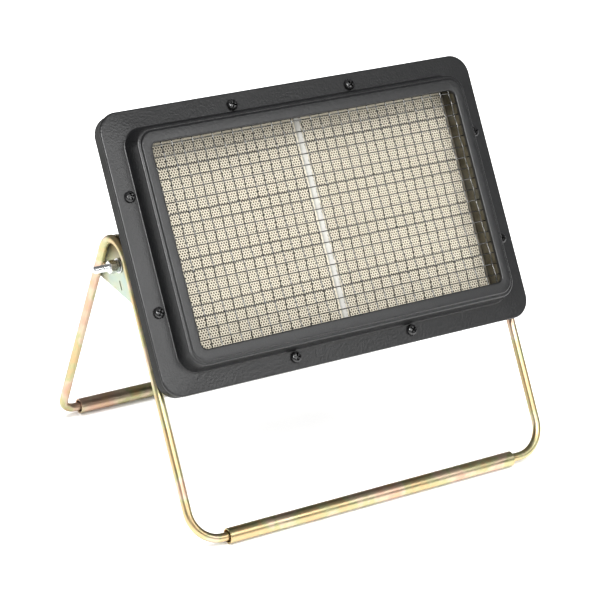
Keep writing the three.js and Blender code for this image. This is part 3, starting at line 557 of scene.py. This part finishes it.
# ---------- Burner box ----------
# A drawn box of bare aluminised steel holds the plaques on a ledge over the gas chamber, where a
# baffle spreads the gas. Its brim clamps the guard against the frame. Its walls are coloured a dark
# brownish grey, in patches.
BOX_FLANGE, BOX_WALL = (124.5, 76.0, 7.6), (120.9, 72.4, 4.0)
BOX_FOLDS = [
    (0, 10.5, 0), (3.6, 10.5, 1.2), (3.6, -15.3, 0.3), (8.6, -15.3, 1.2), (8.6, -32, 2.4), (13.4, -32, 0),
]
DARK_STEEL_TINTS = [(0.35, (0.10, 0.09, 0.065)), (0.5, (0.17, 0.155, 0.12)), (0.68, (0.14, 0.14, 0.125))]

burner_steel = Finish("burner_steel", Metallic=0.85)
steel_patches = burner_steel.noise(14, 4)
burner_steel.set(
    Base_Color=burner_steel.ramp(steel_patches, *DARK_STEEL_TINTS),
    Roughness=burner_steel.between(steel_patches, 0.3, 0.7, 0.42, 0.6),
)
burner_steel.bump(burner_steel.noise(1.5, 3), 0.03)
box_skin = skin(pressed(BOX_FOLDS, [BOX_FLANGE, BOX_WALL], bottom=True, steps=8))
piece("burner_box_drawn", [box_skin], burner_steel, "head", ["burner_box"])
rounded(shown("baffle_plate", burner_steel), 0.2, weld=True)

# ---------- Plaques ----------
# Two plates of pressed cordierite, 13 mm thick and a warm cream, pierced from front to back by
# thousands of holes in a honeycomb. The gas burns in their mouths. Here they are 1.6 mm deep.
PLAQUE_HALF_WIDTH, PLAQUE_HALF_HEIGHT = 58.2, 70.2
PLAQUE_FRONT, PLAQUE_BACK = -2.0, -15.0
PLAQUE_OFFSET = 60.5
HOLE_PITCH, ROW_PITCH, HOLE_RADIUS, HOLE_DEPTH = 1.94, 1.61, 0.68, 1.6
# Painted shade: the hole walls turn near black from 0.1 to 0.9 mm below the brim, standing in for the shade
# deep in through-holes.
HOLE_SHADE_DEPTH, UNSHADED_BROW = 0.9, 0.1
CREAM, PALE_CREAM, HOLE_PAINTED_SHADE = (0.50, 0.455, 0.36), (0.61, 0.565, 0.455), (0.035, 0.028, 0.02)
BORDER, SLAB_GAP = 0.3, 0.02


def pierced_plate(half_u, half_v, offset):
    """A honeycomb of hexagonal holes: hole (i, j) is centred at ((j + i/2 mod 1) pitch, i row pitch),
    a quad joins the facing edges of two holes, and a triangle lies between three. A ring of holes
    beyond the border is clipped flat onto it, and closes the face."""
    rows = int(2 * (half_v - BORDER) / ROW_PITCH)
    columns = int(2 * (half_u - BORDER) / HOLE_PITCH)
    i, j = np.meshgrid(np.arange(rows + 2), np.arange(columns + 2), indexing="ij")
    centre_u = (j - (columns + 1) / 2 + 0.5 * (i % 2) - 0.25) * HOLE_PITCH
    centre_v = (i - (rows + 1) / 2) * ROW_PITCH
    a = np.radians(30 + 60 * np.arange(6))
    u = centre_u[..., None] + HOLE_RADIUS * np.cos(a)
    v = centre_v[..., None] + HOLE_RADIUS * np.sin(a)
    inside = (i > 0) & (i <= rows) & (j > 0) & (j <= columns)
    edge_u, edge_v = np.where(u > 0, half_u, -half_u), np.where(v > 0, half_v, -half_v)
    u = np.where(((j == 0) | (j == columns + 1))[..., None], edge_u, u)
    v = np.where(((i == 0) | (i == rows + 1))[..., None], edge_v, v)
    brim = np.stack([u, v, np.full_like(u, PLAQUE_FRONT)], -1).reshape(-1, 3)
    base = brim - (0, 0, HOLE_DEPTH)
    index = np.arange(len(brim)).reshape(rows + 2, columns + 2, 6)
    shift = (i % 2)[:-1, :]
    right = np.clip(j[:-1] + shift, 0, columns + 1)
    left = np.clip(j[:-1] + shift - 1, 0, columns + 1)

    def above(neighbour, corner):
        """That corner of each hole's neighbour in the next row."""
        return np.take_along_axis(index[1:, :, corner], neighbour, 1)

    quads = [
        np.stack([index[:, :-1, 5], index[:, 1:, 3], index[:, 1:, 2], index[:, :-1, 0]], -1),
        np.stack([index[:-1, :, 0], above(right, 4), above(right, 3), index[:-1, :, 1]], -1),
        np.stack([index[:-1, :, 1], above(left, 5), above(left, 4), index[:-1, :, 2]], -1),
    ]
    up = np.stack([index[:-1, :-1, 0], index[:-1, 1:, 2], above(right, 4)[:, :-1]], -1)
    down = np.stack([index[:-1, :, 1], above(right, 3), above(left, 5)], -1)
    count = len(brim)
    rim = index[inside]
    walls = np.stack([rim, np.roll(rim, -1, 1), np.roll(rim, -1, 1) + count, rim + count], -1)
    faces = [q.reshape(-1, 4) for q in (*quads, walls)] + [t.reshape(-1, 3) for t in (up, down)]
    faces.append(rim[:, ::-1] + count)
    points = np.vstack([brim, base]) + (offset, 0, 0)
    return on_head(points), faces


ceramic = Finish("ceramic", Roughness=0.92)
crumb = ceramic.noise(0.7, 4)
bloom = ceramic.noise(22, 3)
vectors = {0: ceramic.place(), 1: tuple(HEAD_AXES[2])}
out_of_face = ceramic.node("VectorMath", {"operation": "DOT_PRODUCT"}, vectors, output="Value")
brow = (HEAD_PLACE @ HEAD_AXES[2] + PLAQUE_FRONT) / 1000
# Mask of the painted shade inside the holes: 1 deep in a hole, 0 at its brim.
hole_shade_mask = ceramic.between(out_of_face, brow - HOLE_SHADE_DEPTH / 1000, brow - UNSHADED_BROW / 1000, 1.0, 0.0)
fired = ceramic.blend(crumb * 0.5 + bloom * 0.5, CREAM, PALE_CREAM)
ceramic.set(Base_Color=ceramic.blend(hole_shade_mask, fired, HOLE_PAINTED_SHADE))
ceramic.bump(crumb, 0.04)

for side, label in SIDES:
    face = pierced_plate(PLAQUE_HALF_WIDTH, PLAQUE_HALF_HEIGHT, side * PLAQUE_OFFSET)
    u = (side * PLAQUE_OFFSET - PLAQUE_HALF_WIDTH, side * PLAQUE_OFFSET + PLAQUE_HALF_WIDTH)
    v = (-PLAQUE_HALF_HEIGHT, PLAQUE_HALF_HEIGHT)
    slab = block(u, v, PLAQUE_BACK, PLAQUE_FRONT - HOLE_DEPTH - SLAB_GAP)
    name = f"plaque_pierced_{label}"
    piece(name, [face, slab], ceramic, "head", [f"plaque_{label}"], crease=50)

# ---------- Cement seam and gasket ----------
# White refractory cement fills the joint between the plaques, struck off by hand. A strip of pressed
# fibre packs them in the box. It is painted dark brown as painted shade for the shadowed gap beside the
# plaques.
SEAM_HALF_WIDTH, SEAM_FRONT = 1.95, -1.8
MORTAR, CHALK = (0.40, 0.39, 0.36), (0.56, 0.55, 0.52)
GASKET_DEEP_SHADE, GASKET_SHADE = (0.07, 0.06, 0.045), (0.20, 0.175, 0.13)


def struck_seam(half_height, half_width, low, high):
    """A rounded section carried up the joint. At station s its half width is
    w + 0.25 sin(0.9 s) sin(0.31 s + 1) + 0.2 sin(2.3 s), and its crown rises by 0.05 sin(1.7 s)."""
    s = np.linspace(-half_height, half_height, 160)[:, None]
    across = np.array([-1, -1, -0.55, 0, 0.55, 1, 1])[None, :]
    crown = np.array([0, 1, 1.04, 1.05, 1.04, 1, 0])[None, :]
    width = half_width + 0.25 * np.sin(s * 0.9) * np.sin(s * 0.31 + 1) + 0.2 * np.sin(s * 2.3)
    height = low + (high - low) * crown + 0.05 * np.sin(s * 1.7) * (crown > 1)
    return on_head(np.stack([across * width, s + 0 * across, height], -1))


cement = Finish("cement", Roughness=0.95)
lump = cement.noise(3.5, 4)
cement.set(Base_Color=cement.blend(lump, MORTAR, CHALK))
cement.bump(lump, 0.25)
seam = skin(struck_seam(PLAQUE_HALF_HEIGHT, SEAM_HALF_WIDTH, PLAQUE_BACK, SEAM_FRONT))
piece("seam_struck", [seam], cement, "head", ["centre_seam"], crease=60)
# Painted shade: the fibre gasket is coloured between two dark browns that stand for the shadowed gap, not
# for the fibre's own colour.
fibre = Finish("fibre_painted_shade", Roughness=0.95)
fibre.set(Base_Color=fibre.blend(fibre.noise(6, 4), GASKET_DEEP_SHADE, GASKET_SHADE))
shown("plaque_gasket", fibre)

# ---------- Wire guard ----------
# Hard steel wire, 0.84 mm thick, crimped and woven over and under at 7.6 mm pitch, so that a hand
# can't reach the plaques. Its edges are pinched between the frame's lip and the burner box.
GUARD_PLANE = 11.2
WIRE_RADIUS, CRIMP, WIRE_PITCH = 0.42, 0.34, 7.6
GUARD_HALF_WIDTH, GUARD_HALF_HEIGHT = 125.0, 73.6
STRIP_OUTER, STRIP_FOLDS, STRIP_SHEET = (125.4, 74.0, 1.0), [(0, 10.8, 0), (4, 10.8, 0)], 0.9
FIRST_UPRIGHT, UPRIGHT_COUNT = -118.6, 33
TOP_LEVEL, LEVEL_COUNT = 66.6, 19
DULL_WIRE, WIRE = (0.06, 0.06, 0.058), (0.13, 0.13, 0.125)


def woven(places, run, phase, upright):
    """Crimped wires at the places given: out of plane by c cos(pi (t - t0) / pitch), the sign turning
    from wire to wire, with a six-sided section set square to that wave."""
    t = np.arange(-run, run + 0.1, WIRE_PITCH / 6)
    turn = np.pi * (t - phase) / WIRE_PITCH
    odd = (-1.0) ** np.arange(len(places))[:, None]
    lift, slope = CRIMP * np.cos(turn) * odd, -CRIMP * np.pi / WIRE_PITCH * np.sin(turn) * odd
    a = np.linspace(0, 2 * np.pi, 6, endpoint=False)
    out, side = WIRE_RADIUS * np.cos(a), WIRE_RADIUS * np.sin(a)
    lean = 1 / np.hypot(1, slope)[..., None]
    along = t[None, :, None] - out * slope[..., None] * lean
    height = GUARD_PLANE + lift[..., None] + out * lean
    beside = places[:, None, None] + side + 0 * along
    order = [beside, along, height] if upright else [along, beside, height]
    return [skin(on_head(wire)) for wire in np.stack(order, -1)]


wire_steel = Finish("wire_steel", Metallic=1.0)
dull = wire_steel.noise(5, 3)
wire_steel.set(
    Base_Color=wire_steel.blend(dull, DULL_WIRE, WIRE),
    Roughness=wire_steel.between(dull, 0.3, 0.7, 0.12, 0.22),
)
uprights = FIRST_UPRIGHT + WIRE_PITCH * np.arange(UPRIGHT_COUNT)
levels = TOP_LEVEL - WIRE_PITCH * np.arange(LEVEL_COUNT)
wires = woven(uprights, GUARD_HALF_HEIGHT, levels[0], True)
wires += woven(levels, GUARD_HALF_WIDTH, uprights[1], False)
strip = skin(pressed(STRIP_FOLDS, [STRIP_OUTER], steps=2, thickness=STRIP_SHEET), loop=True)
piece("guard_woven", [*wires, strip], wire_steel, "head", ["wire_guard"], crease=80)

# ---------- Front frame ----------
# One pressing in 1 mm steel with a satin black enamel: a flange for the screws, a drawn step with a
# beaded shoulder, a flat border and a turned-in edge round the window.
STEP_FOOT, WINDOW = (131.4, 81.4, 13.2), (119.8, 68.4, 4.5)
FRAME_FOLDS = [
    (0, -1.3, 0), (0, 0, 1.15), (15, 0, 0.9), (17.4, 13.0, 1.2),
    (19.3, 13.0, 0.6), (19.9, 14.6, 0.6), (26.6, 14.6, 1.0), (26.6, 12.0, 0),
]

frame_skin = skin(pressed(FRAME_FOLDS, [EDGE, STEP_FOOT, WINDOW], steps=24), loop=True)
front = piece("frame_pressed", [frame_skin], enamel, "head", ["front_frame"])
rounded(front, 0.22)

# ---------- Screws ----------
# Black pan-head machine screws with a cross recess: eight through the frame's flange, four into the
# burner box and two in the yoke's feet.
FLANGE_SPOTS = [(u, v) for v in (86.1, -86.1) for u in (-46.5, 46.5)]
FLANGE_SPOTS += [(u, v) for u in (-136.8, 136.8) for v in (38.4, -38.4)]
BURNER_SPOTS = [(-88, 46), (88, 46), (88, -46), (-88, -46)]
YOKE_SPOTS = [(-28.8, 0), (28.8, 0)]
SCREWS = {
    "flange_screw": (FLANGE_SPOTS, {"seat": 0.3, "facing": 1, "radius": 3.9, "height": 2.6, "length": 8}),
    "burner_screw": (BURNER_SPOTS, {"seat": -45.3, "facing": -1, "radius": 4, "height": 2.6, "length": 9}),
    "yoke_screw": (YOKE_SPOTS, {"seat": -47.2, "facing": -1, "radius": 3.8, "height": 2.4, "length": 6}),
}
SHANK_RADIUS = 2.0
RECESS_WIDTH, RECESS_REACH, RECESS_DEPTH = 0.56, 2.6, 2.0
RECESS_FLANK, RECESS_RUNOUT = 0.16, 0.5
FIRST_SPIN, SPIN_STEP = 0.3, 0.9
OXIDE, RUBBED_OXIDE = (0.004, 0.004, 0.0042), (0.009, 0.009, 0.0095)


def pan_head(spot, spin, seat, facing, radius, height, length):
    """A head whose height at radius r is h (1 - (r/R)^4)^(1/2.2), down to a rim of h / 4, less a cross
    recess whose arms fade out along their width and towards their ends, over a plain shank."""
    r = np.concatenate([[0.02], np.linspace(0.05, 0.97, 28), [1.0, 1.0]]) * radius
    a = np.linspace(0, 2 * np.pi, 96, endpoint=False)
    grid_r, grid_a = np.meshgrid(r, a, indexing="ij")
    dome = height * np.maximum(1 - (grid_r / radius) ** 4, 0) ** (1 / 2.2)
    dome[-2] = 0.25 * height
    x, y = grid_r * np.cos(grid_a - spin), grid_r * np.sin(grid_a - spin)
    arm = np.clip((RECESS_WIDTH - np.minimum(abs(x), abs(y))) / RECESS_FLANK, 0, 1)
    fade = np.clip((RECESS_REACH - grid_r) / RECESS_RUNOUT, 0, 1)
    z = np.where(np.arange(len(r))[:, None] < len(r) - 2, dome - RECESS_DEPTH * arm * fade, dome)
    top = np.stack([grid_r * np.cos(grid_a), grid_r * np.sin(grid_a), z], -1)
    under = lathe([(radius, 0), (SHANK_RADIUS, 0), (SHANK_RADIUS, -length)], 96)
    whole = np.concatenate([top[:-1], under]) * (1, facing, facing)
    return skin(on_head(whole + (*spot, seat)))


screw_black = Finish("screw_black", Metallic=0.0, Specular_IOR_Level=0.6)
rub = screw_black.noise(1.2, 3)
screw_black.set(
    Base_Color=screw_black.blend(rub, OXIDE, RUBBED_OXIDE),
    Roughness=screw_black.between(rub, 0.3, 0.7, 0.2, 0.3),
)
for node, (spots, sizes) in SCREWS.items():
    for number, spot in enumerate(spots, 1):
        screw = pan_head(spot, FIRST_SPIN + SPIN_STEP * number, **sizes)
        piece(f"{node}_cross_{number}", [screw], screw_black, "head", [f"{node}_{number}"])

# ---------- Nuts, standoffs and the gas train ----------
# Bright zinc hardware: M4 nuts behind the flange, four turned standoffs between the burner box and the
# housing, and a flared mixer tube. A bent strap carries the brass jet and its hose barb behind it.
DULL_ZINC, CLEAR_ZINC = (0.62, 0.63, 0.64), (0.70, 0.71, 0.72)
BROWN_BRASS, YELLOW_BRASS = (0.60, 0.44, 0.19), (0.76, 0.60, 0.30)
MIXER_BORE = [
    (13, -28), (11.2, -27), (9.4, -25), (8.0, -22.4), (7.2, -19.6), (7, -17),
    (7, -14), (7.5, -11), (8.6, -7.4), (9.5, -4.6), (10, -2.6), (10, 0),
]
MIXER_WALL, MIXER_FLANGE, MIXER_EASE, MIXER_SEAT = 1.2, 20, 0.2, -33.3

# A nut is its (flats, bore, low end, high end, turn), a ring its (inner, outer, low end, high end), and
# an outline its (radius, height) points.
FLANGE_NUT, NUT_TURN = (7.0, 2.02, -5.8, -2.6), 0.7
STANDOFF = (2.3, 4.5, -43.7, -33.3)
JET_TIP, JET_CONE = -66.3, [(0.04, 0), (0.5, 0.0), (1.8, 0), (2.9, -1.9), (3, -2.2), (3, -4)]
JET_HEX, JET_STEM = (12, 0.5, -10, -4, 0.2), (2, 4, -20, -9.9)
INLET_NUT, COLLAR = (13, 4.1, -82.5, -78.5, 0.5), (12, 4.1, -90.8, -82.8)
BARB_TOP, BARB_NECK, BARB_END = -90.75, [(2.2, 0), (4.1, 0)], [(3.2, -22), (2.4, -22), (2.2, -21.8)]
RIDGE = [(3.4, 0.15), (4.28, 0), (4.4, -0.12), (3.4, -3)]
RIDGES = (-2, -7, -12, -17)


def hexagon(flats, bore, low, high, turn=0.0, chamfer=0.3, sides=72):
    """A nut: the radius at angle a is the least of the hexagon's, (flats/2) / cos(a mod 60 - 30), and
    of a chamfer cone that opens by 1.8 mm per mm from just inside the flats."""
    a = np.linspace(0, 2 * np.pi, sides, endpoint=False)
    hexed = flats / 2 / np.cos(np.mod(a, np.pi / 3) - np.pi / 6)
    depth = np.array([0, 0.15, 0.35, 0.6]) * flats * 0.09
    cone = flats / 2 * 0.98 + 1.8 * depth[:, None]
    rim = np.minimum(hexed[None], cone)
    radii = np.vstack([rim, rim[::-1]])
    height = np.concatenate([low + depth, high - depth[::-1]])[:, None] + 0 * a
    radii = np.vstack([np.full_like(radii[:1], bore + chamfer), radii, np.full((3, sides), bore)])
    radii[-3] = bore + chamfer
    height = np.vstack([np.full((1, sides), low), height, np.full((1, sides), high)])
    height = np.vstack([height, np.full((1, sides), high - chamfer), np.full((1, sides), low + chamfer)])
    return np.stack([radii * np.cos(a + turn), radii * np.sin(a + turn), height], -1)


def threaded(radius, low, high, pitch=0.8, depth=0.42, sides=32):
    """A screw thread: radius r - d |2 frac(z / pitch - a / 2 pi) - 1|, which a chamfer keeps under
    r - 0.9 plus the way left to the end."""
    z = np.linspace(low, high, round(8 * (high - low) / pitch))[:, None]
    a = np.linspace(0, 2 * np.pi, sides, endpoint=False)[None]
    wave = np.abs(2 * np.mod(z / pitch - a / (2 * np.pi), 1) - 1)
    r = np.minimum(radius - depth * wave, radius - 0.9 + (high - z))
    return np.stack([r * np.cos(a), r * np.sin(a), z + 0 * a], -1)


bright = Finish("bright_zinc", Metallic=1.0)
frost = bright.noise(4, 3)
bright.set(
    Base_Color=bright.blend(frost, DULL_ZINC, CLEAR_ZINC),
    Roughness=bright.between(frost, 0.3, 0.7, 0.26, 0.32),
)
brass = Finish("brass", Metallic=1.0)
tarnish = brass.noise(5, 3)
brass.set(
    Base_Color=brass.blend(tarnish, BROWN_BRASS, YELLOW_BRASS),
    Roughness=brass.between(tarnish, 0.3, 0.7, 0.22, 0.36),
)

for number, spot in enumerate(FLANGE_SPOTS, 1):
    nut = skin(on_head(hexagon(*FLANGE_NUT, NUT_TURN * number) + (*spot, 0)), loop=True)
    piece(f"flange_nut_hex_{number}", [nut], bright, "head", [f"flange_nut_{number}"])
for number, spot in enumerate(BURNER_SPOTS, 1):
    post = skin(on_head(lathe(ring_section(*STANDOFF)) + (*spot, 0)), loop=True)
    nodes = [f"burner_standoff_{number}"]
    piece(f"standoff_turned_{number}", [post], bright, "head", nodes)

skirt = [(radius + MIXER_WALL, height) for radius, height in MIXER_BORE[:-1]]
flange = [
    (MIXER_BORE[-1][0] + MIXER_WALL, -MIXER_WALL), (MIXER_FLANGE - MIXER_EASE, -MIXER_WALL),
    (MIXER_FLANGE, MIXER_EASE - MIXER_WALL), (MIXER_FLANGE, 0),
]
mixer = lathe(MIXER_BORE[::-1] + skirt + flange) + (0, 0, MIXER_SEAT)
piece("mixer_spun", [skin(on_head(mixer), loop=True)], bright, "head", ["mixer_tube"])
rounded(shown("injector_yoke", bright), 0.4, segments=3, weld=True)

jet = [
    skin(on_head(lathe(JET_CONE) + (0, 0, JET_TIP))),
    skin(on_head(hexagon(*JET_HEX) + (0, 0, JET_TIP)), loop=True),
    skin(on_head(lathe(ring_section(*JET_STEM)) + (0, 0, JET_TIP)), loop=True),
]
piece("jet_turned", jet, brass, "head", ["injector_nozzle"])
inlet = skin(on_head(hexagon(*INLET_NUT)), loop=True)
piece("inlet_nut_hex", [inlet], brass, "head", ["inlet_nut"])
ridges = [(radius, top + height) for top in RIDGES for radius, height in RIDGE]
barb = [
    skin(on_head(hexagon(*COLLAR)), loop=True),
    skin(on_head(lathe(BARB_NECK + ridges + BARB_END) + (0, 0, BARB_TOP)), loop=True),
]
piece("hose_barb_turned", barb, brass, "head", ["gas_inlet_barb"])

# ---------- Tilt bolts ----------
# On each side an M5 stud stands out through a turned spacer, the gusset, a plain washer, a split
# spring washer and a nut, which pinch the head at any tilt. Its thread ends 11 mm past the nut.
STUD_SEAT, STUD_THREAD = 126.7, (2.5, 127.4, 157.1)
STUD_HEAD = [
    (0.05, -2.6), (1.9, -2.6), (3.8, -2.3), (4.5, -1.5), (4.75, -0.6), (4.75, 0), (2.1, 0), (2.1, 0.8),
]
SPACER, WASHER, WASHER_EASE = (2.6, 5, 128.3, 135.7), (2.7, 5, 138.3, 139.3), 0.15
SPRING_WASHER, PIVOT_NUT = (2.7, 4.2, 139.6, 1.3), (8, 2.12, 141.2, 145.9, 0.35)


def spring_ring(inner, outer, start, thick, cut=0.12, lift=0.25):
    """A split washer: its section carried round from the cut, and at angle a lifted by l a / 2 pi."""
    a = np.linspace(cut, 2 * np.pi - cut, 60)[:, None]
    radius = np.array([inner, outer, outer, inner])
    height = start + np.array([0, 0, thick, thick]) * (1 - lift / thick) + lift * a / (2 * np.pi)
    return np.stack([radius * np.cos(a), radius * np.sin(a), height + 0 * a], -1)


stud = [lathe(STUD_HEAD) + (0, 0, STUD_SEAT), threaded(*STUD_THREAD)]
hardware = {
    "pivot_bolt": ("stud_threaded", stud, False),
    "pivot_spacer": ("spacer_turned", [lathe(ring_section(*SPACER))], True),
    "pivot_washer": ("washer_stamped", [lathe(ring_section(*WASHER, WASHER_EASE))], True),
    "pivot_spring_washer": ("washer_split", [spring_ring(*SPRING_WASHER)], False),
    "pivot_nut": ("nut_hex", [hexagon(*PIVOT_NUT)], True),
}
for side, label in SIDES:
    for node, (name, turned, loop) in hardware.items():
        parts = [skin(pivot + along_x(points, side), loop) for points in turned]
        piece(f"{name}_{label}", parts, bright, "head", [f"{node}_{label}"])
